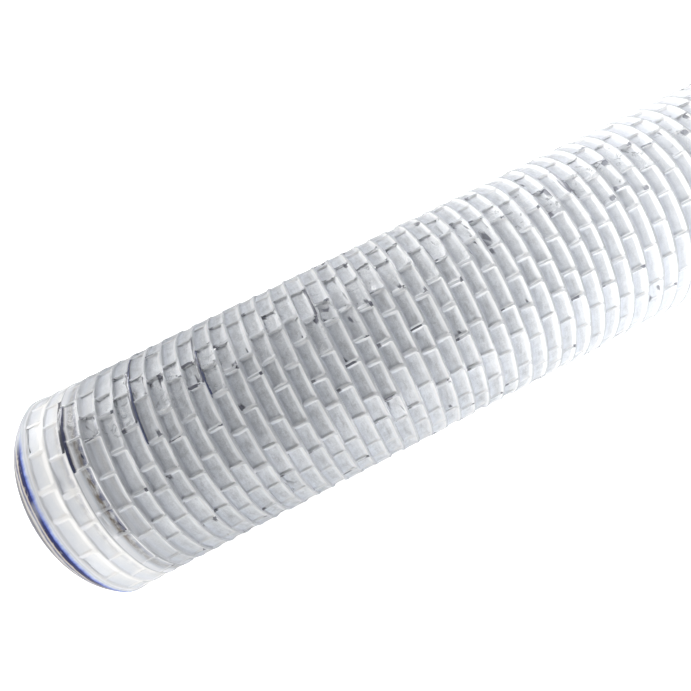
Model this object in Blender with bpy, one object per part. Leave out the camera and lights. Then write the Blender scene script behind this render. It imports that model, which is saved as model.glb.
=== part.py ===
"""Clay texture roller: one bar of clear cast acrylic with crowned bevels on its ends and a bond
of brick pockets engraved all round it, so that rolling it over soft clay leaves a brick wall.

Metres, +Z up. The bar lies along X on the plane z = 0, its middle over the origin.
Courses of bricks run round the bar. What is left standing between the pockets is the mortar:
thin ridges whose crests all but reach the bar's own round surface.
"""

import math
import random

import bmesh
import bpy

MM = 0.001

# The bar, cut from round stock
ROD_DIAMETER = 25.0 * MM
ROD_LENGTH = 100.0 * MM

# The bevel on each end: an arc from the round side to the flat end face
BEVEL_LENGTH = 2.8 * MM
BEVEL_DROP = 3.0 * MM
BEVEL_CROWN = 0.3 * MM
BEVEL_STEPS = 3

# The plain collar between each bevel and the engraving
COLLAR_WIDTH = 0.6 * MM

# The engraving. A wall reaches from the crest of a ridge to the floor of the pocket beside it.
# The crests stand a hair under the collars, so that the bar lies on its two collars
COURSES = 49
BRICKS_PER_COURSE = 20
CREST_UNDER_COLLAR = 0.05 * MM
POCKET_DEPTH = 0.45 * MM
WALL_WIDTH = 0.36 * MM

# How far a head joint may stray from the even bond, as a share of half a brick
JOINT_STRAY_SHARE = 0.44
BOND_SEED = 11

# Edges flatter than this are shaded smooth
SMOOTH_BELOW = math.radians(20.0)

ROD_RADIUS = ROD_DIAMETER / 2
CREST_RADIUS = ROD_RADIUS - CREST_UNDER_COLLAR
BAND_LENGTH = ROD_LENGTH - 2 * (BEVEL_LENGTH + COLLAR_WIDTH)
COURSE_PITCH = BAND_LENGTH / COURSES
HALF_BRICKS = 2 * BRICKS_PER_COURSE
HALF_BRICK_ANGLE = math.tau / HALF_BRICKS


def clear_scene():
    for thing in list(bpy.data.objects):
        bpy.data.objects.remove(thing, do_unlink=True)


def clear_acrylic():
    material = bpy.data.materials.new("clear_acrylic")
    material.use_nodes = True
    sockets = material.node_tree.nodes["Principled BSDF"].inputs
    sockets["Base Color"].default_value = (0.90, 0.92, 0.95, 1.0)
    sockets["Metallic"].default_value = 0.0
    sockets["Roughness"].default_value = 0.30
    sockets["IOR"].default_value = 1.49
    sockets["Transmission Weight"].default_value = 0.85
    return material


def ring(mesh, x, radius, angles):
    """A ring of vertices round the bar's axis, one at each angle."""
    return [mesh.verts.new((x, radius * math.cos(a), radius * math.sin(a))) for a in angles]


def even_angles():
    """The angles of an even bond: a joint of one course or the other at every half brick."""
    return [step * HALF_BRICK_ANGLE for step in range(HALF_BRICKS)]


def joints_of_course(course, chance):
    """The angle of each head joint of a course, by its half-brick step.

    Courses take turns at the even and the odd steps, which makes the bond a running one.
    """
    joints = {}
    for step in range(course % 2, HALF_BRICKS, 2):
        stray = chance.uniform(-JOINT_STRAY_SHARE, JOINT_STRAY_SHARE)
        joints[step] = (step + stray) * HALF_BRICK_ANGLE
    return joints


def crest_angles(course_below, course_above):
    """A bed joint's crest bends where a head joint of either course meets it."""
    angles = even_angles()
    for joints in (course_below, course_above):
        for step, angle in joints.items():
            angles[step] = angle
    return angles


def wall_round(mesh, first, second):
    """Joins two rings with quads. The second ring lies further along +X."""
    for step in range(len(first)):
        after = (step + 1) % len(first)
        mesh.faces.new((first[step], first[after], second[after], second[step]))


def pocket(mesh, low, high, x_low, x_high, angle_from, angle_to):
    """One brick: a flat floor, sunk below the crests round it, and its four sloped walls.

    low and high each hold three vertices of the bed joints' crests: one at each head joint
    of this brick, and between them the head joint of the next course.
    """
    wall_angle = WALL_WIDTH / CREST_RADIUS
    floor_angles = (angle_from + wall_angle, angle_to - wall_angle)
    floor_radius = CREST_RADIUS - POCKET_DEPTH
    low_from, low_to = ring(mesh, x_low + WALL_WIDTH, floor_radius, floor_angles)
    high_from, high_to = ring(mesh, x_high - WALL_WIDTH, floor_radius, floor_angles)

    mesh.faces.new((low_from, low_to, high_to, high_from))
    mesh.faces.new((low[0], low_from, high_from, high[0]))
    mesh.faces.new((low_to, low[2], high[2], high_to))

    mesh.faces.new((low[0], low[1], low_from))
    mesh.faces.new((low[1], low_to, low_from))
    mesh.faces.new((low[1], low[2], low_to))

    mesh.faces.new((high_from, high[1], high[0]))
    mesh.faces.new((high_from, high_to, high[1]))
    mesh.faces.new((high_to, high[2], high[1]))


def engraving(mesh):
    """Cuts every course of pockets and returns the band's first and last crest."""
    chance = random.Random(BOND_SEED)
    courses = [joints_of_course(course, chance) for course in range(COURSES)]
    crest_x = [course * COURSE_PITCH - BAND_LENGTH / 2 for course in range(COURSES + 1)]
    crests = []
    for number, x in enumerate(crest_x):
        below = courses[number - 1] if number > 0 else {}
        above = courses[number] if number < COURSES else {}
        crests.append(ring(mesh, x, CREST_RADIUS, crest_angles(below, above)))

    for course, joints in enumerate(courses):
        for step, angle in joints.items():
            next_step = (step + 2) % HALF_BRICKS
            next_angle = joints[next_step] + (math.tau if next_step < step else 0.0)
            steps = (step, (step + 1) % HALF_BRICKS, next_step)
            low = [crests[course][s] for s in steps]
            high = [crests[course + 1][s] for s in steps]
            pocket(mesh, low, high, crest_x[course], crest_x[course + 1], angle, next_angle)
    return crests[0], crests[-1]


def bevel_profile():
    """The bevel's arc as (distance beyond the collar, radius), from the round side inwards."""
    chord = math.hypot(BEVEL_LENGTH, BEVEL_DROP)
    arc_radius = (chord ** 2 / 4 + BEVEL_CROWN ** 2) / (2 * BEVEL_CROWN)
    half_angle = math.asin(chord / 2 / arc_radius)
    facing = math.atan2(BEVEL_LENGTH, BEVEL_DROP)
    centre_out = BEVEL_LENGTH / 2 - (arc_radius - BEVEL_CROWN) * math.cos(facing)
    centre_up = ROD_RADIUS - BEVEL_DROP / 2 - (arc_radius - BEVEL_CROWN) * math.sin(facing)
    profile = []
    for step in range(BEVEL_STEPS + 1):
        angle = facing + half_angle * (1 - 2 * step / BEVEL_STEPS)
        out = centre_out + arc_radius * math.cos(angle)
        radius = centre_up + arc_radius * math.sin(angle)
        profile.append((out, radius))
    return profile


def finished_end(mesh, crest, side):
    """The collar, the bevel and the flat face of one end. side is -1 or 1 along X."""
    collar_edge = BAND_LENGTH / 2 + COLLAR_WIDTH
    inner = crest
    for out, radius in bevel_profile():
        outer = ring(mesh, side * (collar_edge + out), radius, even_angles())
        if side > 0:
            wall_round(mesh, inner, outer)
        else:
            wall_round(mesh, outer, inner)
        inner = outer
    mesh.faces.new(inner if side > 0 else list(reversed(inner)))


def roller_rod():
    mesh = bmesh.new()
    first_crest, last_crest = engraving(mesh)
    finished_end(mesh, first_crest, -1)
    finished_end(mesh, last_crest, 1)
    shape = bpy.data.meshes.new("roller_rod")
    mesh.to_mesh(shape)
    mesh.free()
    shape.shade_smooth()
    shape.set_sharp_from_angle(angle=SMOOTH_BELOW)
    shape.materials.append(clear_acrylic())
    rod = bpy.data.objects.new("roller_rod", shape)
    rod.location = (0.0, 0.0, ROD_RADIUS)
    bpy.context.scene.collection.objects.link(rod)
    return rod


clear_scene()
roller_rod()
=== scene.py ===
"""Looks of the clay texture roller: a bar of clear cast acrylic, engraved all round with a bond of
brick pockets, lying on a white table under soft studio light.

Metres, +Z up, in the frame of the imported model: the bar lies along X on the plane z = 0.
The bar's detailed body takes the place of the plain CAD one and has the same courses and joints.
"""

import math
import random

import bpy
import numpy as np
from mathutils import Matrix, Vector


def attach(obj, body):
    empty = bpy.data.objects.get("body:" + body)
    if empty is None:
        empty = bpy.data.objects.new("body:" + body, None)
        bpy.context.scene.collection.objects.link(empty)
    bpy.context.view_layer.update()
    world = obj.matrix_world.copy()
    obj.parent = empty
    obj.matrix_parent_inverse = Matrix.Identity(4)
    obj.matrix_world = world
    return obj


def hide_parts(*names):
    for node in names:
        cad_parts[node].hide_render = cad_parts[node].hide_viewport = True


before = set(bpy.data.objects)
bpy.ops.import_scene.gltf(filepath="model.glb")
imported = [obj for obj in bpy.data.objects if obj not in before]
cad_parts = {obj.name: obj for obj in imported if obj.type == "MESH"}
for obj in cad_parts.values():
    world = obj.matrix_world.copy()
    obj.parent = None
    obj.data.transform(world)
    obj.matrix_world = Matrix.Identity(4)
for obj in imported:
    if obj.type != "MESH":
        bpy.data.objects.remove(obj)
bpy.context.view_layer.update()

MM = 0.001

# The bar and the finish of its ends, as in the CAD
ROD_RADIUS = 12.5 * MM
ROD_LENGTH = 100.0 * MM
BEVEL_LENGTH = 2.8 * MM
BEVEL_DROP = 3.0 * MM
BEVEL_CROWN = 0.3 * MM
COLLAR_WIDTH = 0.6 * MM
CREST_UNDER_COLLAR = 0.05 * MM

# The bond, as in the CAD
COURSES = 49
BRICKS_PER_COURSE = 20
JOINT_STRAY_SHARE = 0.44
BOND_SEED = 11

CREST_RADIUS = ROD_RADIUS - CREST_UNDER_COLLAR
BAND_LENGTH = ROD_LENGTH - 2 * (BEVEL_LENGTH + COLLAR_WIDTH)
COURSE_PITCH = BAND_LENGTH / COURSES
HALF_BRICKS = 2 * BRICKS_PER_COURSE
HALF_BRICK_ANGLE = math.tau / HALF_BRICKS

# The carved form of the pockets. The wall on a pocket's left is narrower than the one on its right
CARVING_SEED = 5
POCKET_DEPTH = 0.31 * MM
BOWL_DEPTH = 0.03 * MM
WALL_WIDTH = 0.28 * MM
LEFT_WALL_SHARE = 0.42
END_WALL_SHARE = 0.62
SLOPE_WIDTH = 0.75 * MM
SLOPE_SHARE = 0.22
BED_TOP = 0.055 * MM

# The middle of a floor, which is darker than its edge: how far inside the pocket it starts, and how
# much further in it is full
CORE_FROM = 0.9 * WALL_WIDTH
CORE_REACH = 1.3 * WALL_WIDTH

# The small wander of the bed joints: its size, and for each of its waves the number of waves in a
# turn and the shift from one course to the next
BED_WAVE = 0.05 * MM
BED_WAVES = ((5, 2.4), (3, 1.7))

# Bed joints left wider and clearer along a stretch: (joint, from angle, to angle, extra half width)
WIDE_BEDS = (
    (2, math.radians(48), math.radians(84), 0.10 * MM),
    (6, math.radians(44), math.radians(82), 0.02 * MM),
    (10, math.radians(48), math.radians(88), 0.05 * MM),
    (17, math.radians(58), math.radians(72), 0.08 * MM),
    (33, math.radians(64), math.radians(80), 0.05 * MM),
    (47, math.radians(150), math.radians(230), 0.12 * MM),
    (22, math.radians(200), math.radians(250), 0.10 * MM),
    (36, math.radians(280), math.radians(330), 0.10 * MM),
)

# In this share of the courses, counted from the left, such a wide joint shows a painted deep blue refraction
BLUE_BEDS_SHARE = 0.25

# The side of the bar where the cutter chipped more, and how far round it reaches
CHIPPED_SIDE = math.radians(70)
CHIPPED_REACH = math.radians(26)

# Chance of each flaw: on the sound sides of the bar, and what the chipped side adds to it. The last
# is the chance of any bite, those at a corner with it
CLEAR_JOINT_CHANCE = (0.20, 0.25)
CHIPPED_CORNER_CHANCE = (0.08, 0.25)
SCARRED_CHANCE = (0.05, 0.22)
SHATTERED_CHANCE = (0.02, 0.16)
BITTEN_CORNER_CHANCE = (0.03, 0.28)
BITTEN_CHANCE = (0.06, 0.44)

# Chance that a clear head joint, and a frosted one, is wide
WIDE_IF_CLEAR_CHANCE = 0.25
WIDE_IF_FROSTED_CHANCE = 0.08

# Least and most of what differs from one head joint to the next. A joint that is cut down by a
# share of 1 would be level with the floors
JOINT_HALF_TOPS = (0.04 * MM, 0.12 * MM)
WIDE_JOINT_HALF_TOPS = (0.12 * MM, 0.20 * MM)
CLEAR_CUT_DOWN_SHARES = (0.0, 0.08)
FROSTED_CUT_DOWN_SHARES = (0.05, 0.32)
JOINT_SLANT = 0.14 * MM

# The stretches of a head joint, as shares of the course, that the cutter may leave clear
CLEAR_SHARES = ((0.0, 0.70), (0.0, 0.30), (0.0, 0.30), (0.0, 0.22), (0.70, 1.0), (0.78, 1.0))

# A frosted joint's clear stretch lies past the course, where no spot is
FROSTED_SHARES = (2.0, 2.0)

# A clear stretch that is shorter than this takes in the walls beside the joint
SHORT_CLEAR_SHARE = 0.25

# Least and most of what differs from one pocket to the next. The most that a spot wobbles is given
# as the chances above are: on the sound sides, and what the chipped side adds to it
CORNER_RADII = (0.20 * MM, 0.52 * MM)
CHIPPED_CORNER_RADII = (0.5 * MM, 0.9 * MM)
SIDE_STRAYS = (0.0, 0.08 * MM)
DEPTH_SHARES = (0.84, 1.0)
SHATTERED_SCAR = 0.11 * MM
SCARS = (0.03 * MM, 0.06 * MM)
SMOOTH_SCARS = (0.0, 0.008 * MM)
LEAST_WOBBLE = 0.01 * MM
MOST_WOBBLE = (0.05 * MM, 0.15 * MM)
WORN_SHARES = (0.3, 1.0)
LEFT_RIM_SHARES = (0.1, 0.5)
RIGHT_RIM_SHARES = (0.75, 1.0)
FIRST_RIM_SHARES = (0.4, 1.0)
LAST_RIM_SHARES = (0.5, 1.0)

# Scars show where a spot's wall share is more than this, and shattered spots are at most this clear
SCARS_FROM_SHARE = 0.5
SHATTERED_CLEAR = 1.1

# Courses next to each bevel, painted pale as painted light, and how much shallower they are
PALE_COURSES = 2
DEPTH_SHARES_FROM_END = {0: 0.45, 1: 0.45, 2: 0.58}

# The dark patches in the courses behind the bevel, painted shade of the view through the clear bar: how
# dark they are, and the shares of the way across the course, from the bevel's side, at which they start
# and end, with how softly they do
SHADED_COURSES = {1: 0.36, 2: 1.3, 3: 0.30}
SHADE_FROM_SHARES = {1: 0.45, 2: 0.30, 3: 0.38}
USUAL_SHADE_FROM_SHARE = 0.40
SHADE_RISE_SHARE = 0.16
SHADE_TO_SHARE = 0.95
SHADE_FALL_SHARE = 0.20

# The side of the bar where this painted shade is darkest: its middle, how far round it reaches, how far
# its peak rises above full, and what is left of the painted shade elsewhere
SHADED_SIDE = math.radians(94)
SHADED_REACH = math.radians(62)
SHADED_CORE = 1.3
SHADE_ELSEWHERE = 0.35

# Courses behind the left bevel whose left walls are wider, and how pale a painted highlight makes
# those walls
WIDE_WALL_SHARES = {2: 1.1, 3: 0.9, 4: 0.6}
WIDE_WALL_PALE = 0.9

# The painted highlights on the steep rims beside the joints: what is left of them where two joints
# meet, and on the inner line of the right wall, which is painted whiter with the share of the courses
# that lie on its left
RIM_AT_JOINT_SHARE = 0.4
INNER_RIM_LEFT_SHARE = 0.15
INNER_RIM_FROM_SHARE = 0.4
INNER_RIM_REACH_SHARE = 0.4

# Where a pocket's lines lie, in widths of its wall from the ridge's edge to the floor. Lines run round
# the bar, and steps run along it
ACROSS = (0.0, 0.45, 1.0, 1.7)
LINES = 2 * len(ACROSS) + 1
STEPS = 2 * len(ACROSS) + 2
FLOOR_STEP_SHARES = (0.33, 0.67)

# How many lines, and steps, a bitten corner takes in
BITE = 3

# Rings and steps of the ends
END_STEPS = 180
BEVEL_STEPS = 10
FACE_SHARES = (0.985, 0.66, 0.33)

# How far from the engraving the collar has its full radius, and the cut that its finish takes it for,
# which is enough for frost
COLLAR_STEP = 0.1 * MM
COLLAR_CUT_SHARE = 0.3

# The share of the bevel's painted reflection bands that is past at its edge beside the collar
COLLAR_BAND_SHARE = 0.08

# The side where the bevel's dark bands, a painted reflection, are strongest, as they are opposite it, and
# how wide and how soft these two stretches are
BAND_SIDE = math.radians(120)
BAND_WIDTH = 0.75
BAND_SOFTNESS = 0.6

# Edges flatter than this are shaded smooth, and rings this close to an end's edges are kept crisp
SMOOTH_BELOW = math.radians(50)
CRISP_REACH = 0.001 * MM


def smooth_rise(value):
    """0 below 0, 1 above 1, and a soft slope between."""
    held = min(max(value, 0.0), 1.0)
    return held * held * (3.0 - 2.0 * held)


def arch(share):
    """1 in the middle of a stretch, 0 at both of its ends."""
    return max(0.0, 4 * share * (1 - share))


# The bond


def joint_angles(course, chance):
    """The angle of each head joint of a course. The draws come in the order of the CAD's."""
    angles = []
    for step in range(course % 2, HALF_BRICKS, 2):
        stray = chance.uniform(-JOINT_STRAY_SHARE, JOINT_STRAY_SHARE)
        angles.append((step + stray) * HALF_BRICK_ANGLE)
    return angles


def from_end_of(course):
    """How many courses lie between this one and the nearer bevel."""
    return min(course, COURSES - 1 - course)


def turn_from(angle, side):
    """The turn between two angles round the bar, without its sign."""
    return abs((angle - side + math.pi) % math.tau - math.pi)


def chipping(angle):
    """1 in the middle of the chipped side of the bar, 0 away from it."""
    return max(0.0, 1.0 - turn_from(angle, CHIPPED_SIDE) / CHIPPED_REACH)


def shading(angle):
    """1 in the middle of the side where the painted shade is darkest, 0 away from it."""
    return smooth_rise(SHADED_CORE * (1 - turn_from(angle, SHADED_SIDE) / SHADED_REACH))


def by_wear(pair, worn):
    """A value of the sound sides of the bar, plus what the chipped side adds to it."""
    sound, added = pair
    return sound + added * worn


def extra_width(joint, angle):
    """How much wider than the others a bed joint was left at an angle."""
    return sum(extra for bed, start, end, extra in WIDE_BEDS
               if bed == joint and start < angle % math.tau < end)


def bed_wave(row, angle):
    """How far a bed joint wanders along the bar, at an angle round it."""
    return BED_WAVE * math.prod(math.sin(waves * angle + shift * row) for waves, shift in BED_WAVES)


# The carving


def head_joint(angle, chance):
    """How one head joint was left standing between two pockets."""
    clear = chance.random() < by_wear(CLEAR_JOINT_CHANCE, chipping(angle))
    wide = chance.random() < (WIDE_IF_CLEAR_CHANCE if clear else WIDE_IF_FROSTED_CHANCE)
    return {
        "angle": angle,
        "half_top": chance.uniform(*(WIDE_JOINT_HALF_TOPS if wide else JOINT_HALF_TOPS)),
        "cut_down": chance.uniform(*(CLEAR_CUT_DOWN_SHARES if clear else FROSTED_CUT_DOWN_SHARES)),
        "slant": chance.uniform(-JOINT_SLANT, JOINT_SLANT),
        "clear_shares": chance.choice(CLEAR_SHARES) if clear else FROSTED_SHARES,
    }


def bite(worn, chance):
    """The (line, step) spots of a pocket where the cutter bit through the frost.

    They are a block at one of its corners that lacks a spot, a single spot of its floor, or none.
    """
    lot = chance.random()
    if lot < by_wear(BITTEN_CORNER_CHANCE, worn):
        line = chance.choice((1, LINES - 1 - BITE))
        step = chance.choice((1, STEPS - 1 - BITE))
        block = {(line + a, step + b) for a in range(BITE) for b in range(BITE)}
        block.discard((line + chance.choice((0, BITE - 1)), step + chance.choice((0, BITE - 1))))
        return block
    if lot < by_wear(BITTEN_CHANCE, worn):
        floor = len(ACROSS) - 1
        return {(chance.randrange(floor, LINES - floor), chance.randrange(floor, STEPS - floor))}
    return set()


def carving(course, angle, chance):
    """How one pocket was carved."""
    worn = chipping(angle)
    scarred = chance.random() < by_wear(SCARRED_CHANCE, worn)
    chipped = chance.random() < by_wear(CHIPPED_CORNER_CHANCE, worn)
    corners = [chance.uniform(*CORNER_RADII) for _ in range(4)]
    if chipped:
        corners[chance.randrange(4)] = chance.uniform(*CHIPPED_CORNER_RADII)
    extras = [extra_width(bed, angle) for bed in (course, course + 1)]
    left, right = (chance.uniform(*SIDE_STRAYS) + extra for extra in extras)
    from_end = from_end_of(course)
    shattered = chance.random() < by_wear(SHATTERED_CHANCE, worn)
    depth_share = chance.uniform(*DEPTH_SHARES) * DEPTH_SHARES_FROM_END.get(from_end, 1.0)
    tone = chance.uniform(-1.0, 1.0)
    if shattered:
        scar = SHATTERED_SCAR
    else:
        scar = chance.uniform(*(SCARS if scarred else SMOOTH_SCARS))
    return {
        "depth": POCKET_DEPTH * depth_share,
        "corners": corners,
        "left": left,
        "right": right,
        "wide": [extra > 0.0 for extra in extras],
        "tone": tone,
        "pale": 1.0 if from_end < PALE_COURSES else 0.0,
        "shade": SHADED_COURSES.get(from_end, 0.0),
        "shade_from": SHADE_FROM_SHARES.get(from_end, USUAL_SHADE_FROM_SHARE),
        "left_wall": WIDE_WALL_SHARES.get(course, LEFT_WALL_SHARE),
        "scar": scar,
        "shattered": shattered,
        "bite": bite(worn, chance),
        "wobble": chance.uniform(LEAST_WOBBLE, by_wear(MOST_WOBBLE, worn)),
        "worn": worn * chance.uniform(*WORN_SHARES),
        "rims": [chance.uniform(*shares) for shares in (LEFT_RIM_SHARES, RIGHT_RIM_SHARES)],
        "end_rims": [chance.uniform(*shares) for shares in (FIRST_RIM_SHARES, LAST_RIM_SHARES)],
    }


class Pocket:
    """One carved brick.

    x runs along the bar from the bed joint on its left, and w round it from its first head joint.
    """

    def __init__(self, course, start, end, angle_to, chance):
        self.course = course
        self.start = start
        self.end = end
        self.width = (angle_to - start["angle"]) * CREST_RADIUS
        self.brick = carving(course, (start["angle"] + angle_to) / 2, chance)

    def lines(self):
        """The x of each line."""
        left_wall = WALL_WIDTH * self.brick["left_wall"]
        left = [BED_TOP + self.brick["left"] * min(share, 1.0) + share * left_wall for share in ACROSS]
        right = [BED_TOP + self.brick["right"] * min(share, 1.0) + share * WALL_WIDTH for share in ACROSS]
        return left + [COURSE_PITCH / 2] + [COURSE_PITCH - far for far in reversed(right)]

    def steps(self):
        """The w of each step."""
        end_wall = WALL_WIDTH * END_WALL_SHARE
        first = [self.start["half_top"] + share * end_wall for share in ACROSS]
        last = [self.width - self.end["half_top"] - share * end_wall for share in reversed(ACROSS)]
        span = last[0] - first[-1]
        return first + [first[-1] + span * share for share in FLOOR_STEP_SHARES] + last

    def form_at(self, x, w):
        """How much of the wall lies above (x, w), the depth there, and how near the floor's middle it is."""
        brick = self.brick
        low_x = BED_TOP + brick["left"]
        high_x = COURSE_PITCH - BED_TOP - brick["right"]
        low_w = self.start["half_top"]
        high_w = self.width - self.end["half_top"]
        near_left = x < (low_x + high_x) / 2
        near_start = w < (low_w + high_w) / 2
        corner = brick["corners"][int(near_left) * 2 + int(near_start)]
        gap_x = (x - low_x) / brick["left_wall"] if near_left else high_x - x
        gap_w = (w - low_w if near_start else high_w - w) / END_WALL_SHARE
        if gap_x < corner and gap_w < corner:
            inside = corner - math.hypot(corner - gap_x, corner - gap_w)
        else:
            inside = min(gap_x, gap_w)
        steep = smooth_rise(inside / WALL_WIDTH)
        gentle = smooth_rise(inside / SLOPE_WIDTH)
        wall = steep * (1 - SLOPE_SHARE) + gentle * SLOPE_SHARE
        share_x = (x - low_x) / (high_x - low_x)
        share_w = (w - low_w) / (high_w - low_w)
        bowl = arch(share_x) * min(1.0, 2 * arch(share_w))
        core = smooth_rise((inside - CORE_FROM) / CORE_REACH)
        return wall, wall * (brick["depth"] + bowl * BOWL_DEPTH), core

    def slant_at(self, share, w):
        """How far the slant of the head joints moves a spot round the bar.

        share is its share of the way across the course.
        """
        half = self.width / 2
        at_start = max(0.0, 1 - w / half)
        at_end = max(0.0, 1 - (self.width - w) / half)
        return (share - 0.5) * (at_start * self.start["slant"] + at_end * self.end["slant"])

    def is_clear(self, line, step, share, joint):
        """Whether the cutter left a spot clear: on a clear stretch of its head joint, or in a bite."""
        if self.brick["pale"]:
            return False
        clear_from, clear_to = joint["clear_shares"]
        short = clear_to - clear_from < SHORT_CLEAR_SHARE
        beside = step in (0, STEPS - 1) or (short and step in (1, STEPS - 2))
        on_stretch = 0 < line < LINES - 1 and beside and clear_from <= share <= clear_to
        return on_stretch or (line, step) in self.brick["bite"]

    def rim_at(self, line, step):
        """How white the painted highlight on the steep rim beside a joint is at a spot."""
        on_edge = line in (0, LINES - 1)
        rim = 0.0
        if line in (1, 2, LINES - 3, LINES - 2):
            at_joint = step in (0, STEPS - 1)
            rim = self.brick["rims"][int(line > 2)] * (RIM_AT_JOINT_SHARE if at_joint else 1.0)
        if line == LINES - 3:
            on_left = self.course / COURSES
            whitened = smooth_rise((on_left - INNER_RIM_FROM_SHARE) / INNER_RIM_REACH_SHARE)
            rim *= INNER_RIM_LEFT_SHARE + (1 - INNER_RIM_LEFT_SHARE) * whitened
        if step in (1, STEPS - 2) and not on_edge:
            rim = max(rim, self.brick["end_rims"][int(step > 1)])
        return rim

    def shade_at(self, share, angle, wall):
        """How dark the painted shade behind the bevel is at a share of the way across the course."""
        brick = self.brick
        from_bevel = share if self.course < COURSES / 2 else 1 - share
        shade = brick["shade"] * smooth_rise((from_bevel - brick["shade_from"]) / SHADE_RISE_SHARE)
        if not brick["pale"]:
            shade *= smooth_rise((SHADE_TO_SHARE - from_bevel) / SHADE_FALL_SHARE)
        return min(1.0, shade * wall * (SHADE_ELSEWHERE + (1 - SHADE_ELSEWHERE) * shading(angle)))

    def vertex(self, line, step, x, w, chance):
        """The x, angle, depth and marks of a spot, with its scars and its wobble."""
        brick = self.brick
        share = x / COURSE_PITCH
        angle = self.start["angle"] + w / CREST_RADIUS
        on_edge = line in (0, LINES - 1)
        joint = self.start if step < len(ACROSS) else self.end
        wall, depth, core = self.form_at(x, w)
        if step in (0, STEPS - 1) and not on_edge:
            wall = joint["cut_down"]
            depth = wall * brick["depth"]
        if wall > SCARS_FROM_SHARE:
            depth += chance.uniform(-1.0, 1.0) * brick["scar"]
        stray_x, stray_w = (chance.uniform(-1.0, 1.0) * brick["wobble"] for _ in range(2))
        clear = float(self.is_clear(line, step, share, joint))
        pale = brick["pale"]
        shade = self.shade_at(share, angle, wall)
        if line in (0, 1, LINES - 2, LINES - 1) and brick["wide"][int(line > 1)]:
            clear, pale = 1.0, 0.0
        if brick["shattered"] and not on_edge and not brick["pale"]:
            clear = max(clear, chance.uniform(0.0, SHATTERED_CLEAR) * chance.random())
        # Painted refraction: a wide joint near the left bevel is painted deep blue
        if brick["wide"][0] and line < 2 and self.course < COURSES * BLUE_BEDS_SHARE:
            shade = 1.0
        # Painted highlight: the wider left walls behind the left bevel are painted pale
        elif self.course in WIDE_WALL_SHARES and line in (1, 2):
            pale = max(pale, WIDE_WALL_PALE * brick["shade"])
        marks = {"cut": wall, "tone": brick["tone"] * wall, "clear": clear, "rim": self.rim_at(line, step),
                 "pale": pale, "shade": shade, "core": core, "across": share, "worn": brick["worn"]}
        if not on_edge:
            x += stray_x
        x += bed_wave(self.course + share, angle)
        angle += (self.slant_at(share, w) + stray_w) / CREST_RADIUS
        return x, angle, depth, marks


def carved_course(course, joints, chance):
    """The vertices of one course, as rings of (x, angle, depth, marks) from its left to its right."""
    rings = [[] for _ in range(LINES)]
    for number, start in enumerate(joints):
        end = joints[(number + 1) % len(joints)]
        angle_to = end["angle"] + (math.tau if number == len(joints) - 1 else 0.0)
        pocket = Pocket(course, start, end, angle_to, chance)
        steps = pocket.steps()
        for line, x in enumerate(pocket.lines()):
            rings[line] += [pocket.vertex(line, step, x, w, chance) for step, w in enumerate(steps)]
    return rings


# The body of the bar

# What each vertex says to the finish
MARKS = (
    "cut",     # how much of the wall lies above it: 0 on a crest, 1 on a floor
    "tone",    # how light or dark the floor of its pocket is
    "clear",   # how clear the cutter left it
    "rim",     # how white the painted highlight on the steep wall beside a joint is
    "pale",    # how pale it is painted, as painted light: 1 beside the bevels, on the collars and on the ends
    "shade",   # how dark the painted shade behind the bevel is, and on the bevel the strength of its painted bands
    "core",    # 1 in the middle of a floor, 0 at its edge
    "bevel",   # its share of the way down the bevel
    "across",  # its share of the way across its course
    "worn",    # how worn its pocket is
    "face",    # 1 on the flat end faces
)


def zip_rings(first, second, first_angles, second_angles):
    """Triangles between two rings with different steps. The second lies further along +X."""
    faces = []
    a, b = 0, 0
    count_a, count_b = len(first), len(second)
    while a < count_a or b < count_b:
        next_a = first_angles[a + 1] if a + 1 < count_a else first_angles[0] + math.tau
        next_b = second_angles[b + 1] if b + 1 < count_b else second_angles[0] + math.tau
        here_a = first[a % count_a]
        here_b = second[b % count_b]
        if b >= count_b or (a < count_a and next_a <= next_b):
            a += 1
            faces.append((here_a, first[a % count_a], here_b))
        else:
            b += 1
            faces.append((here_a, second[b % count_b], here_b))
    return faces


def grid_between(first, second):
    """Quads between two rings with the same steps. The second lies further along +X."""
    faces = []
    for step in range(len(first)):
        after = (step + 1) % len(first)
        faces.append((first[step], first[after], second[after], second[step]))
    return faces


class Body:
    """Gathers the bar's rings of vertices, and the faces between them."""

    def __init__(self):
        self.points = []
        self.faces = []
        self.marks = {name: [] for name in MARKS}
        self.last = None

    def add_ring(self, ring, same_steps):
        """Adds a ring of (x, angle, radius, marks), its angles rising, and returns its numbers."""
        first_number = len(self.points)
        for x, angle, radius, marks in ring:
            self.points.append((x, radius * math.cos(angle), ROD_RADIUS + radius * math.sin(angle)))
            for name, values in self.marks.items():
                values.append(marks.get(name, 0.0))
        numbers = list(range(first_number, len(self.points)))
        angles = [row[1] for row in ring]
        if self.last is not None:
            old_numbers, old_angles = self.last
            if same_steps:
                self.faces += grid_between(old_numbers, numbers)
            else:
                self.faces += zip_rings(old_numbers, numbers, old_angles, angles)
        self.last = (numbers, angles)
        return numbers


def band_strength(angle):
    """How strongly the bevel's dark painted reflection bands show: in two stretches, a paler one after each.
    """
    return smooth_rise((math.cos(2 * (angle - BAND_SIDE)) + BAND_WIDTH) / BAND_SOFTNESS)


def even_ring(x, radius, bevel=0.0, face=0.0):
    """A ring with even steps, for a collar or an end."""
    marks = {"bevel": bevel, "face": face, "pale": 1.0, "cut": 0.0 if bevel > 0.0 else COLLAR_CUT_SHARE}
    angles = [(step + 0.5) * math.tau / END_STEPS for step in range(END_STEPS)]
    return [(x, angle, radius, {**marks, "shade": band_strength(angle) if bevel > 0.0 else 0.0})
            for angle in angles]


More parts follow.
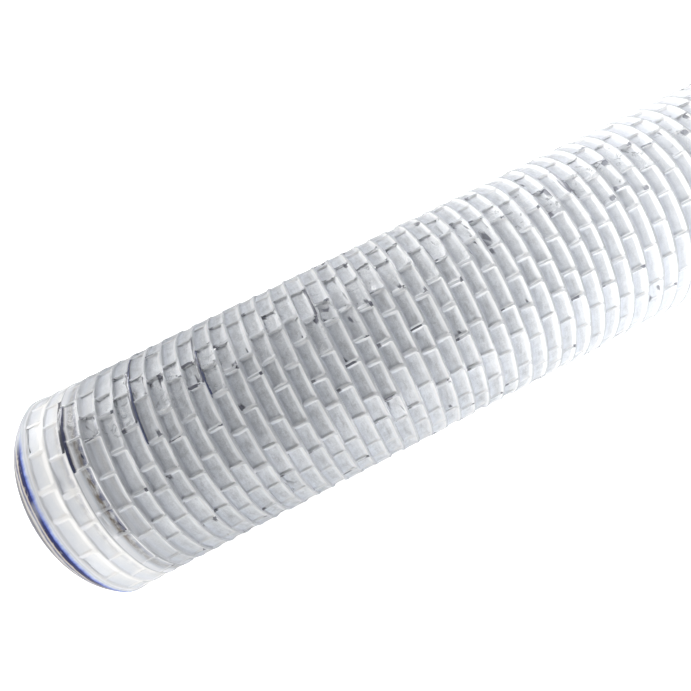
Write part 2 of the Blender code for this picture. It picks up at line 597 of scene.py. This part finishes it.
def bevel_profile():
    """The bevel's arc as (distance beyond the collar, radius), from the round side inwards."""
    chord = math.hypot(BEVEL_LENGTH, BEVEL_DROP)
    arc_radius = (chord ** 2 / 4 + BEVEL_CROWN ** 2) / (2 * BEVEL_CROWN)
    half_angle = math.asin(chord / 2 / arc_radius)
    facing = math.atan2(BEVEL_LENGTH, BEVEL_DROP)
    centre_out = BEVEL_LENGTH / 2 - (arc_radius - BEVEL_CROWN) * math.cos(facing)
    centre_up = ROD_RADIUS - BEVEL_DROP / 2 - (arc_radius - BEVEL_CROWN) * math.sin(facing)
    profile = []
    for step in range(BEVEL_STEPS + 1):
        angle = facing + half_angle * (1 - 2 * step / BEVEL_STEPS)
        out = centre_out + arc_radius * math.cos(angle)
        radius = centre_up + arc_radius * math.sin(angle)
        profile.append((out, radius))
    return profile


def right_end():
    """The rings of the right end, from the collar's edge down the bevel and in over the flat face."""
    edge = BAND_LENGTH / 2 + COLLAR_WIDTH
    rings = []
    for out, radius in bevel_profile():
        bevel = COLLAR_BAND_SHARE + (1 - COLLAR_BAND_SHARE) * out / BEVEL_LENGTH
        rings.append(even_ring(edge + out, radius, bevel))
    face_radius = ROD_RADIUS - BEVEL_DROP
    rings += [even_ring(ROD_LENGTH / 2, face_radius * share, 1.0, face=1.0) for share in FACE_SHARES]
    return rings


def bar_body():
    """The whole bar, ring by ring from its left face to its right one."""
    body = Body()
    collar_x = BAND_LENGTH / 2 + COLLAR_STEP
    right_rings = right_end()
    left_rings = [[(-row[0],) + row[1:] for row in ring] for ring in reversed(right_rings)]
    left_numbers = [body.add_ring(ring, same_steps=True) for ring in left_rings]
    body.add_ring(even_ring(-collar_x, ROD_RADIUS), same_steps=True)

    chance = random.Random(BOND_SEED)
    angles = [joint_angles(course, chance) for course in range(COURSES)]
    chance = random.Random(CARVING_SEED)
    for course in range(COURSES):
        joints = [head_joint(angle, chance) for angle in angles[course]]
        for line, ring in enumerate(carved_course(course, joints, chance)):
            x_from = course * COURSE_PITCH - BAND_LENGTH / 2
            rows = [(x_from + x, angle, CREST_RADIUS - depth, marks) for x, angle, depth, marks in ring]
            body.add_ring(rows, same_steps=line > 0)

    body.add_ring(even_ring(collar_x, ROD_RADIUS), same_steps=False)
    right_numbers = [body.add_ring(ring, same_steps=True) for ring in right_rings]
    body.faces.append(list(reversed(left_numbers[0])))
    body.faces.append(right_numbers[-1])
    return body


def keep_edges_crisp(shape, body):
    """Marks the edges round the flat faces and round the collars, where two finishes meet."""
    ends = np.empty(2 * len(shape.edges), dtype=np.int32)
    shape.edges.foreach_get("vertices", ends)
    along = np.abs(np.array(body.points)[:, 0])[ends].reshape(-1, 2)
    sharp = np.empty(len(shape.edges), dtype=bool)
    crisp = shape.attributes["sharp_edge"]
    crisp.data.foreach_get("value", sharp)
    for place in (ROD_LENGTH / 2, ROD_LENGTH / 2 - BEVEL_LENGTH):
        sharp |= (np.abs(along - place) < CRISP_REACH).all(axis=1)
    crisp.data.foreach_set("value", sharp)


def rod_piece(body, material):
    """The bar as one piece, with what its vertices say to the finish."""
    shape = bpy.data.meshes.new("engraved_bar")
    shape.from_pydata(body.points, [], body.faces)
    for name, values in body.marks.items():
        mark = shape.attributes.new(name, "FLOAT", "POINT")
        mark.data.foreach_set("value", np.array(values, dtype=np.float32))
    shape.materials.append(material)
    shape.shade_smooth()
    shape.set_sharp_from_angle(angle=SMOOTH_BELOW)
    keep_edges_crisp(shape, body)
    shape.update()
    piece = bpy.data.objects.new("engraved_bar", shape)
    bpy.context.scene.collection.objects.link(piece)
    return piece


# Shader maths

# Sockets of a Mix node that mixes colours
MIX_SHARE, MIX_FIRST, MIX_SECOND, MIX_RESULT = 0, 6, 7, 2


class Socket:
    """An output of a node. Sums on it add Math nodes."""

    def __init__(self, looks, output):
        self.looks = looks
        self.output = output

    def _math(self, operation, *values):
        return self.looks.node("ShaderNodeMath", {"operation": operation}, dict(enumerate(values)))

    def __add__(self, other):
        return self._math("ADD", self, other)

    def __radd__(self, other):
        return self._math("ADD", other, self)

    def __sub__(self, other):
        return self._math("SUBTRACT", self, other)

    def __rsub__(self, other):
        return self._math("SUBTRACT", other, self)

    def __mul__(self, other):
        return self._math("MULTIPLY", self, other)

    def __rmul__(self, other):
        return self._math("MULTIPLY", other, self)

    def __abs__(self):
        return self._math("ABSOLUTE", self)

    def most(self, other):
        """The greater of two values."""
        return self._math("MAXIMUM", self, other)

    def held(self):
        """The value, kept between 0 and 1."""
        return self._math("MINIMUM", self.most(0.0), 1.0)

    def rise(self, low, high):
        """0 up to low, 1 from high on, and a straight slope between."""
        return ((self - low) * (1.0 / (high - low))).held()

    def swing(self, strength):
        """A pattern that runs from 0 to 1, made to swing about 0."""
        return (self - 0.5) * strength


class Looks:
    """The node tree of one material or of the world."""

    def __init__(self, owner):
        owner.use_nodes = True
        self.tree = owner.node_tree
        self.tree.nodes.clear()

    def node(self, kind, settings=None, sockets=None, output=0):
        """Adds a node: its settings first, then the values or links of its sockets."""
        node = self.tree.nodes.new(kind)
        for name, value in (settings or {}).items():
            if name == "stops":
                ramp = node.color_ramp
                while len(ramp.elements) < len(value):
                    ramp.elements.new(0.5)
                for element, (place, colour) in zip(ramp.elements, value):
                    element.position = place
                    element.color = colour
            else:
                setattr(node, name, value)
        for name, value in (sockets or {}).items():
            if isinstance(value, Socket):
                self.tree.links.new(value.output, node.inputs[name])
            else:
                node.inputs[name].default_value = value
        return Socket(self, node.outputs[output]) if node.outputs else None

    def blend(self, first, second, share):
        """A colour between two colours."""
        settings = {"data_type": "RGBA", "clamp_factor": True}
        sockets = {MIX_SHARE: share, MIX_FIRST: first, MIX_SECOND: second}
        return self.node("ShaderNodeMix", settings, sockets, MIX_RESULT)

    def tinted(self, colour, tint):
        """A colour times another one."""
        settings = {"data_type": "RGBA", "blend_type": "MULTIPLY"}
        sockets = {MIX_SHARE: 1.0, MIX_FIRST: colour, MIX_SECOND: tint}
        return self.node("ShaderNodeMix", settings, sockets, MIX_RESULT)

    def mark(self, name):
        """What the vertices say to the finish under a name."""
        return self.node("ShaderNodeAttribute", {"attribute_name": name}, output="Fac")

    def part(self, place, axis):
        """One of the three parts of a place or a direction."""
        return self.node("ShaderNodeSeparateXYZ", {}, {"Vector": place}, axis)

    def noise(self, place, scale, detail, roughness, distortion=0.0):
        """An uneven pattern from about 0 to 1."""
        return self.node("ShaderNodeTexNoise", {}, {
            "Vector": place, "Scale": scale, "Detail": detail, "Roughness": roughness,
            "Distortion": distortion})

    def finish(self, surface, kind="ShaderNodeOutputMaterial"):
        self.node(kind, {}, {"Surface": surface})


# Colours


def grey(value, blue=0.0):
    """A grey, or one that leans towards blue."""
    return (value * (1 - blue), value * (1 - blue * 0.4), value * (1 + blue * 0.5), 1.0)


def rgb(red, green, blue):
    return (red, green, blue, 1.0)


FLOOR_DARK = grey(0.40, 0.04)
FLOOR_LIGHT = grey(0.72, 0.05)
FLOOR_EDGE = grey(0.84, 0.04)
# Painted light on the floors towards the right end
FLOOR_RIGHT = grey(0.88, 0.05)
WALL_DARK = grey(0.50, 0.03)
WALL_LIGHT = grey(0.76, 0.02)
# Painted highlights of the rims: grey on the left of the bar, white on its right and at the left end
RIM_HIGHLIGHT_LEFT = grey(0.61)
RIM_HIGHLIGHT_RIGHT = grey(0.95)
CREST_LIGHT = rgb(0.76, 0.77, 0.80)
CREST_DARK = grey(0.58, 0.05)
# Painted light on the pale courses beside the bevels, darker towards the right end, and on their floors
PAINTED_PALE_LEFT = rgb(0.88, 0.87, 0.855)
PAINTED_PALE_RIGHT = rgb(0.52, 0.52, 0.53)
PAINTED_PALE_FLOOR = grey(0.78, 0.035)
# Painted shade behind the bevel, brown turning blue across the course
BROWN_SHADE = rgb(0.20, 0.165, 0.13)
BLUE_SHADE = rgb(0.12, 0.13, 0.22)
# A painted colour fringe of dispersed light: bluish on the left of each course, warm on its right
COOL_TINT = rgb(0.952, 0.974, 1.022)
WARM_TINT = rgb(1.0, 0.998, 0.990)
WORN_FROST = grey(0.60, 0.05)
WHITE_VEIN = grey(0.95)
DARK_VEIN = grey(0.18, 0.08)
# Painted shade and light seen through the clear spots: dark on the left of the bar, pale on its right
GLASS_LEFT = rgb(0.09, 0.09, 0.13)
GLASS_RIGHT = rgb(0.52, 0.53, 0.60)
# Painted refraction in the wide joints near the left bevel
DEEP_BLUE = rgb(0.03, 0.045, 0.18)
# Painted shade: a dark edge where the surface turns away from the eye, on the engraving and the bevel
EDGE_SHADE = rgb(0.30, 0.31, 0.35)
BEVEL_EDGE_SHADE = rgb(0.20, 0.20, 0.24)
# Patches, flecks and plain stretches of the bevel's painted reflection
BEVEL_PATCH = grey(0.50, 0.05)
BEVEL_FLECK = rgb(0.62, 0.57, 0.52)
BEVEL_PLAIN = grey(0.62, 0.05)
FACE_DARK = grey(0.70, 0.04)
FACE_LIGHT = grey(0.84, 0.04)

# The bands down the bevel, a painted reflection: (share of the way, colour)
BEVEL_BANDS = (
    (0.000, rgb(0.95, 0.95, 0.95)),
    (0.030, rgb(0.93, 0.95, 1.0)),
    (0.045, rgb(0.50, 0.60, 0.95)),
    (0.080, rgb(0.12, 0.17, 0.52)),
    (0.125, rgb(0.018, 0.025, 0.11)),
    (0.25, rgb(0.020, 0.022, 0.075)),
    (0.29, rgb(0.12, 0.10, 0.10)),
    (0.33, rgb(0.48, 0.44, 0.38)),
    (0.43, rgb(0.08, 0.09, 0.17)),
    (0.55, rgb(0.50, 0.48, 0.44)),
    (0.70, rgb(0.04, 0.04, 0.06)),
    (1.00, rgb(0.12, 0.12, 0.14)),
)


# The acrylic

ACRYLIC_IOR = 1.49

# The patterns in the surface, each as (scale, detail, roughness) and for one its distortion: clouds
# in the frost, its grain, streaks that run round the bar, veins in worn pockets, patches on the bevel
CLOUD = (1100.0, 3.0, 0.65)
GRAIN = (6500.0, 3.0, 0.7)
STREAKS = (3800.0, 3.0, 0.6)
VEINS = (900.0, 2.0, 0.6, 0.8)
PATCHES = (160.0, 2.0, 0.6)

# The turning rings of the flat faces
TURNING = {"Scale": 785.0, "Distortion": 0.6, "Detail": 2.0}

# How much of their scale the streaks keep round the bar, so that they are longer that way
STREAK_SHARE = 0.22

# Stretches along the bar over which its colour changes, mostly by painted light: paler at the left end,
# rims whiter and wider, floors and clear spots paler to the right, and the pale courses and bevels
# darker towards the right end
NEAR_END = (-43 * MM, -33 * MM)
RIM_WHITENS = (-36 * MM, 18 * MM)
RIM_WIDENS = (0.0, 30 * MM)
FLOOR_PALES = (0.0, 35 * MM)
GLASS_PALES = (0.0, 32 * MM)
DIMS_TO_RIGHT = (-10 * MM, 44 * MM)

# Stretches of the marks over which the colour changes, painted highlights, shade and fringes among it,
# and of how far the surface turns from the eye, where the painted dark edge shows
GLASSY = (0.45, 0.75)
FROSTED_CREST = (0.02, 0.12)
CREST_TO_WALL = (0.0, 0.12)
WALL_TO_FLOOR = (0.55, 0.97)
RIM_SHOWS = (0.22, 0.72)
SHADE_TURNS_BLUE = (0.60, 0.75)
TINT_WARMS = (0.15, 0.60)
BEVEL_STARTS = (0.0, 0.02)
EDGE_SHADE_SHOWS = (0.80, 0.96)
WORN_FROSTS = (0.1, 0.8)
WHITE_VEINS_COME = (0.05, 0.6)
DARK_VEINS_COME = (0.2, 0.8)
BANDS_WANDER = (0.2, 0.5)
FLECKS_START = (0.17, 0.22)

# Levels of the clouds and the patches over which the flecks and patches in the bevel's painted
# reflection show
FLECKS_SHOW = (0.52, 0.72)
PATCHES_SHOW = (0.64, 0.74)

# How much of a colour shows where it is strongest
FLOOR_PALE_SHARE = 0.75
WORN_SHARE = 0.45
WHITE_VEIN_SHARE = 0.5
DARK_VEIN_SHARE = 0.8
EDGE_SHADE_SHARE = 0.8
PATCH_SHARE = 0.35
FLECK_SHARE = 0.40
BEVEL_DIM_SHARE = 0.4

# How strongly each pattern mottles the floors, and how strongly two of them blotch the painted shade
CLOUD_MOTTLE = 2.0
STREAK_MOTTLE = 1.8
GRAIN_MOTTLE = 1.8
TONE_MOTTLE = 0.16
CLOUD_BLOTCH = 2.2
STREAK_BLOTCH = 2.6
BLOTCH_LEVEL = 0.80

# Veins in the worn pockets: white ones this far from the middle of their pattern, and dark ones
# between two levels of it, with how softly their edges fade
WHITE_VEIN_REACH = (0.006, 0.022)
DARK_VEIN_LEVELS = (0.62, 0.69)
DARK_VEIN_FADES = (0.0, 0.02)

# How high the grain of the frosted surface stands
BUMP_DEPTH = 0.05 * MM

# What is the same all over each of the three finishes
POLISHED = {"Roughness": 0.08, "IOR": ACRYLIC_IOR, "Transmission Weight": 0.70}
FROSTED = {"Roughness": 0.42, "Specular IOR Level": 0.30, "IOR": ACRYLIC_IOR,
           "Transmission Weight": 0.30}
TURNED = {"Roughness": 0.20, "Specular IOR Level": 0.05}


class Acrylic:
    """The marks and patterns of the bar's surface, and the colours made from them."""

    def __init__(self, looks):
        self.looks = looks
        self.mark = {name: looks.mark(name) for name in MARKS}
        self.place = looks.node("ShaderNodeTexCoord", output="Object")
        self.along = looks.part(self.place, "X")
        round_the_bar = looks.node("ShaderNodeMapping", {}, {
            "Vector": self.place, "Scale": (1.0, STREAK_SHARE, STREAK_SHARE)})
        self.cloud = looks.noise(self.place, *CLOUD)
        self.grain = looks.noise(self.place, *GRAIN)
        self.streaks = looks.noise(round_the_bar, *STREAKS)
        # Painted light at the left end, which is paler
        self.near_end = 1.0 - self.along.rise(*NEAR_END)
        self.glassy = self.mark["clear"].rise(*GLASSY)
        self.bevelled = self.mark["bevel"].rise(*BEVEL_STARTS)
        self.painted_pale = looks.blend(PAINTED_PALE_LEFT, PAINTED_PALE_RIGHT, self.along.rise(*DIMS_TO_RIGHT))
        # Painted shade: a dark edge where the surface turns away from the eye, as at the edge of glass
        facing = looks.node("ShaderNodeLayerWeight", {}, {"Blend": 0.5}, "Facing")
        self.edge_shade = facing.rise(*EDGE_SHADE_SHOWS) * EDGE_SHADE_SHARE
        self.turning = self.turning_rings()

    def turning_rings(self):
        """The fine rings that the lathe left on the flat faces."""
        from_axis = self.looks.node("ShaderNodeMapping", {}, {
            "Vector": self.place, "Location": (0.0, 0.0, -ROD_RADIUS)})
        settings = {"wave_type": "RINGS", "rings_direction": "X"}
        return self.looks.node("ShaderNodeTexWave", settings, {"Vector": from_axis, **TURNING}, "Fac")

    def crest(self):
        """The tops of the ridges, and the collars, before anything is cut clear; painted light pales the
        ends.
        """
        colour = self.looks.blend(CREST_LIGHT, CREST_DARK, self.cloud.swing(2.0) + 0.4)
        return self.looks.blend(colour, self.painted_pale, self.mark["pale"])

    def floor(self):
        """Frosted floors, mottled and dark in the middle, with painted light to the right and at the left
        end.
        """
        blend = self.looks.blend
        mottle = (self.cloud.swing(CLOUD_MOTTLE) + self.streaks.swing(STREAK_MOTTLE)
                  + self.grain.swing(GRAIN_MOTTLE) + self.mark["tone"] * TONE_MOTTLE + 0.5)
        colour = blend(FLOOR_DARK, FLOOR_LIGHT, mottle)
        colour = blend(FLOOR_EDGE, colour, self.mark["core"] * 0.85 + 0.15)
        colour = blend(colour, FLOOR_RIGHT, self.along.rise(*FLOOR_PALES) * FLOOR_PALE_SHARE)
        return blend(colour, FLOOR_EDGE, self.near_end * FLOOR_PALE_SHARE)

    def walls_and_floor(self):
        """The walls, with the painted highlights of their white rims, down to the floor."""
        blend = self.looks.blend
        colour = blend(WALL_DARK, WALL_LIGHT, self.cloud.swing(1.5) + 0.6)
        colour = blend(colour, self.floor(), self.mark["cut"].rise(*WALL_TO_FLOOR))
        # Painted highlight on the rims, whiter and wider towards the right end
        rim = (self.mark["rim"] * (self.along.rise(*RIM_WIDENS) * 0.5 + 1.0)).rise(*RIM_SHOWS)
        rim_highlight = blend(RIM_HIGHLIGHT_LEFT, RIM_HIGHLIGHT_RIGHT, self.along.rise(*RIM_WHITENS))
        return blend(colour, blend(rim_highlight, RIM_HIGHLIGHT_RIGHT, self.near_end), rim)

    def behind_bevel(self, colour):
        """Painted light by the bevels, the painted brown and blue shade after it, and a painted colour
        fringe.
        """
        blend = self.looks.blend
        floor_share = self.mark["core"] * (self.cloud + 0.3).held() * self.near_end
        painted_pale_floor = blend(self.painted_pale, PAINTED_PALE_FLOOR, floor_share)
        colour = blend(colour, painted_pale_floor, self.mark["pale"] * (self.cloud + 0.7))
        across = self.mark["across"]
        turns_blue = (across + self.cloud.swing(0.5)).rise(*SHADE_TURNS_BLUE)
        shade_colour = blend(BROWN_SHADE, BLUE_SHADE, turns_blue)
        blotches = (self.streaks.swing(STREAK_BLOTCH) + self.cloud.swing(CLOUD_BLOTCH) + BLOTCH_LEVEL).held()
        colour = blend(colour, shade_colour, self.mark["shade"] * blotches)
        return self.looks.tinted(colour, blend(COOL_TINT, WARM_TINT, across.rise(*TINT_WARMS)))

    def wear(self, colour):
        """The worn pockets of the chipped side, with white and dark veins."""
        blend = self.looks.blend
        worn = self.mark["worn"]
        plain = 1.0 - self.mark["pale"]
        vein = self.looks.noise(self.place, *VEINS)
        white = (1.0 - abs(vein - 0.5).rise(*WHITE_VEIN_REACH)) * worn.rise(*WHITE_VEINS_COME) * plain
        low, high = DARK_VEIN_LEVELS
        between = (vein - low).rise(*DARK_VEIN_FADES) * (high - vein).rise(*DARK_VEIN_FADES)
        dark = between * worn.rise(*DARK_VEINS_COME) * plain
        colour = blend(colour, WORN_FROST, worn.rise(*WORN_FROSTS) * plain * WORN_SHARE)
        colour = blend(colour, WHITE_VEIN, white * WHITE_VEIN_SHARE)
        return blend(colour, DARK_VEIN, dark * DARK_VEIN_SHARE)

    def frosted(self):
        """The whole engraved surface, frosted as the cutter left it, with its painted highlights and shade.
        """
        colour = self.wear(self.behind_bevel(self.walls_and_floor()))
        colour = self.looks.blend(self.crest(), colour, self.mark["cut"].rise(*CREST_TO_WALL))
        return self.looks.blend(colour, EDGE_SHADE, self.edge_shade)

    def polished(self):
        """The crests and the spots that were left clear, with painted shade on the left and painted light on
        the right.
        """
        blend = self.looks.blend
        glass = blend(GLASS_LEFT, GLASS_RIGHT, self.along.rise(*GLASS_PALES))
        colour = blend(self.crest(), glass, self.glassy * (self.cloud + 0.5))
        colour = blend(colour, DEEP_BLUE, self.mark["shade"] * self.glassy)
        return blend(colour, EDGE_SHADE, self.edge_shade)

    def turned(self, beside):
        """The bevels, with the painted reflection of bands that the clear bar shows, and the flat faces."""
        blend = self.looks.blend
        bevel = self.mark["bevel"]
        patches = self.looks.noise(self.place, *PATCHES)
        way = bevel + self.cloud.swing(0.08) + patches.swing(0.36) * bevel.rise(*BANDS_WANDER)
        colour = self.looks.node("ShaderNodeValToRGB", {"stops": BEVEL_BANDS}, {"Fac": way})
        colour = blend(colour, BEVEL_PATCH, patches.rise(*PATCHES_SHOW) * PATCH_SHARE)
        flecks = self.cloud.rise(*FLECKS_SHOW) * bevel.rise(*FLECKS_START)
        colour = blend(colour, BEVEL_FLECK, flecks * FLECK_SHARE)
        colour = blend(BEVEL_PLAIN, colour, self.mark["shade"])
        colour = blend(colour, grey(0.0), self.along.rise(*DIMS_TO_RIGHT) * BEVEL_DIM_SHARE)
        colour = blend(colour, BEVEL_EDGE_SHADE, self.edge_shade)
        colour = blend(beside, colour, self.bevelled)
        face = blend(FACE_DARK, FACE_LIGHT, self.turning * 0.35 + self.cloud * 0.65)
        return blend(colour, face, self.mark["face"])

    def bumps(self):
        """The grain of the frost, and the turning rings of the flat faces."""
        frost = (self.grain * 0.5 + self.streaks + self.cloud) * self.mark["cut"]
        rings = self.turning * self.mark["face"] * 0.12
        return self.looks.node("ShaderNodeBump", {}, {
            "Strength": 0.5, "Distance": BUMP_DEPTH, "Height": frost + rings})


def clear_acrylic():
    """Clear crests and spots, frosted pockets, and the turned ends, which let little light through."""
    material = bpy.data.materials.new("engraved_clear_acrylic")
    looks = Looks(material)
    acrylic = Acrylic(looks)
    cut, pale, face = (acrylic.mark[name] for name in ("cut", "pale", "face"))
    bumps = acrylic.bumps()
    frosted_colour = acrylic.frosted()
    polished = looks.node("ShaderNodeBsdfPrincipled", {}, {
        **POLISHED, "Base Color": acrylic.polished(), "Normal": bumps})
    frosted = looks.node("ShaderNodeBsdfPrincipled", {}, {
        **FROSTED, "Base Color": frosted_colour, "Normal": bumps})
    turned = looks.node("ShaderNodeBsdfPrincipled", {}, {
        **TURNED, "Base Color": acrylic.turned(frosted_colour)})
    frost = (cut.rise(*FROSTED_CREST) * 0.45 + 0.55) * (1.0 - acrylic.glassy * 0.85) * (1.0 - face)
    # Painted light: the pale courses beside the bevels are mostly given the opaque turned finish
    opaque = (acrylic.bevelled + pale * 0.75).held() * (1.0 - face * 0.5)
    surface = looks.node("ShaderNodeMixShader", {}, {0: frost, 1: polished, 2: frosted})
    surface = looks.node("ShaderNodeMixShader", {}, {0: opaque, 1: surface, 2: turned})
    looks.finish(surface)
    return material


# The studio

TABLE_REACH = 1200 * MM
TABLE_PAINT = grey(0.85)

# How bright the table shows by itself: to the camera, in reflections, and through the bar, where a
# painted pool of light brightens from the left to the right
SEEN_GLOW = 0.7
MIRRORED_GLOW = 0.3
THROUGH_GLOW_LEFT = 0.45
THROUGH_GLOW_RIGHT = 1.35
THROUGH_GLOW_RISES = (-90 * MM, 90 * MM)

# Seen through the bar, the table doesn't glow under it, a painted shadow: it brightens between the first
# two distances from the bar's axis, and between the last two from its middle, along it
BESIDE_BAR = (6 * MM, 30 * MM)
BEYOND_BAR = (ROD_LENGTH / 2 - 10 * MM, ROD_LENGTH / 2 + 15 * MM)

# The room: its light at the horizon and high up, and how much of it each side gets
HORIZON = grey(1.60, 0.03)
CEILING = grey(0.05, 0.03)
HORIZON_TO_CEILING = (0.08, 0.50)
LEFT_OF_ROOM = grey(0.90)
RIGHT_OF_ROOM = grey(1.10)

# What the soft lamps face
BAR_MIDDLE = (0.0, 0.0, ROD_RADIUS)

# The lamps: (name, place, what it faces, cone, width, watts). One without a cone is a soft round lamp
LAMPS = (
    ("left_lamp", (-400 * MM, -20 * MM, 130 * MM), BAR_MIDDLE, None, 160 * MM, 0.32),
    ("end_lamp", (-76 * MM, 0.0, 58 * MM), BAR_MIDDLE, None, 20 * MM, 0.015),
    ("low_lamp", (-120 * MM, 0.0, 95 * MM), (68 * MM, 0.0, 22 * MM),
     math.radians(26), 20 * MM, 0.66),
    ("top_lamp", (60 * MM, 70 * MM, 240 * MM), (64 * MM, 0.0, 12 * MM),
     math.radians(36), 60 * MM, 1.08),
    ("front_lamp", (30 * MM, -240 * MM, 80 * MM), (50 * MM, 0.0, 12 * MM),
     math.radians(50), 100 * MM, 2.75),
    ("front_fill", (-140 * MM, -200 * MM, 25 * MM), BAR_MIDDLE, None, 120 * MM, 0.23),
    ("back_fill", (-140 * MM, 200 * MM, 35 * MM), BAR_MIDDLE, None, 120 * MM, 0.26),
    ("back_lamp", (30 * MM, 240 * MM, 120 * MM), (50 * MM, 0.0, 12 * MM),
     math.radians(52), 100 * MM, 1.95),
)

# The camera
CAMERA_PLACE = (-14.50 * MM, -14.37 * MM, 83.02 * MM)
CAMERA_TURN = (math.radians(9.942), 0.0, math.radians(-27.40))
CAMERA_SENSOR_MM = 36.0
CAMERA_LENS_MM = 30.25
CAMERA_SHIFT = (-0.0733, 0.0363)
CAMERA_NEAR = 1 * MM


def white_table():
    """White paint that keeps shadows and glows for the camera, and behind the bar as painted light and
    shadow.
    """
    material = bpy.data.materials.new("white_table")
    looks = Looks(material)
    seen = looks.node("ShaderNodeLightPath", output="Is Camera Ray")
    through = looks.node("ShaderNodeLightPath", output="Is Transmission Ray")
    mirrored = looks.node("ShaderNodeLightPath", output="Is Glossy Ray")
    place = looks.node("ShaderNodeTexCoord", output="Object")
    along = looks.part(place, "X")
    across = looks.part(place, "Y")
    # Painted shadow under the bar, and a painted pool of light brightening to the right, seen through the
    # bar
    away = abs(across).rise(*BESIDE_BAR).most(abs(along).rise(*BEYOND_BAR))
    rightwards = along.rise(*THROUGH_GLOW_RISES)
    pool = (rightwards * (THROUGH_GLOW_RIGHT - THROUGH_GLOW_LEFT) + THROUGH_GLOW_LEFT) * away
    glow_colour = looks.node("ShaderNodeVectorMath", {"operation": "SCALE"}, {
        0: (1.0, 1.0, 1.0), "Scale": seen * SEEN_GLOW + through * pool + mirrored * MIRRORED_GLOW})
    paint = looks.node("ShaderNodeBsdfDiffuse", {}, {"Color": TABLE_PAINT})
    glow = looks.node("ShaderNodeEmission", {}, {"Color": glow_colour, "Strength": 1.0})
    looks.finish(looks.node("ShaderNodeAddShader", {}, {0: paint, 1: glow}))
    return material


def table_top():
    """The table, as a plain square on the plane z = 0."""
    shape = bpy.data.meshes.new("table_top")
    corners = [(x * TABLE_REACH, y * TABLE_REACH, 0.0) for x, y in ((-1, -1), (1, -1), (1, 1), (-1, 1))]
    shape.from_pydata(corners, [], [(0, 1, 2, 3)])
    shape.materials.append(white_table())
    table = bpy.data.objects.new("table_top", shape)
    bpy.context.scene.collection.objects.link(table)


def studio_world():
    """A soft room that is bright at the horizon, and plain white to the camera."""
    world = bpy.data.worlds.new("soft_studio")
    bpy.context.scene.world = world
    looks = Looks(world)
    seen = looks.node("ShaderNodeLightPath", output="Is Camera Ray")
    towards = looks.node("ShaderNodeTexCoord", output="Generated")
    height = looks.blend(HORIZON, CEILING, looks.part(towards, "Z").rise(*HORIZON_TO_CEILING))
    sides = looks.blend(LEFT_OF_ROOM, RIGHT_OF_ROOM, looks.part(towards, "X").rise(-1.0, 1.0))
    colour = looks.blend(looks.tinted(height, sides), grey(1.0), seen)
    sky = looks.node("ShaderNodeBackground", {}, {"Color": colour, "Strength": 1.0})
    looks.finish(sky, "ShaderNodeOutputWorld")


def hang_lamp(name, place, target, cone, width, watts):
    """A soft round lamp, or a lamp behind a snoot, whose light fades towards the edge of its cone."""
    if cone is None:
        lamp = bpy.data.lights.new(name, "AREA")
        lamp.shape = "DISK"
        lamp.size = width
    else:
        lamp = bpy.data.lights.new(name, "SPOT")
        lamp.spot_size = cone
        lamp.spot_blend = 1.0
        lamp.shadow_soft_size = width / 2
    lamp.energy = watts
    piece = bpy.data.objects.new(name, lamp)
    piece.location = place
    facing = Vector(target) - piece.location
    piece.rotation_euler = facing.to_track_quat("-Z", "Y").to_euler()
    piece.visible_camera = False
    bpy.context.scene.collection.objects.link(piece)


def camera():
    """The camera, where the photograph's stood."""
    lens = bpy.data.cameras.new("camera")
    lens.sensor_width = CAMERA_SENSOR_MM
    lens.lens = CAMERA_LENS_MM
    lens.shift_x, lens.shift_y = CAMERA_SHIFT
    lens.clip_start = CAMERA_NEAR
    eye = bpy.data.objects.new("camera", lens)
    eye.location = CAMERA_PLACE
    eye.rotation_euler = CAMERA_TURN
    bpy.context.scene.collection.objects.link(eye)
    bpy.context.scene.camera = eye


rod = rod_piece(bar_body(), clear_acrylic())
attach(rod, "root")
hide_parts("roller_rod")

table_top()
studio_world()
for lamp in LAMPS:
    hang_lamp(*lamp)
camera()
bpy.context.scene.view_settings.view_transform = "Standard"
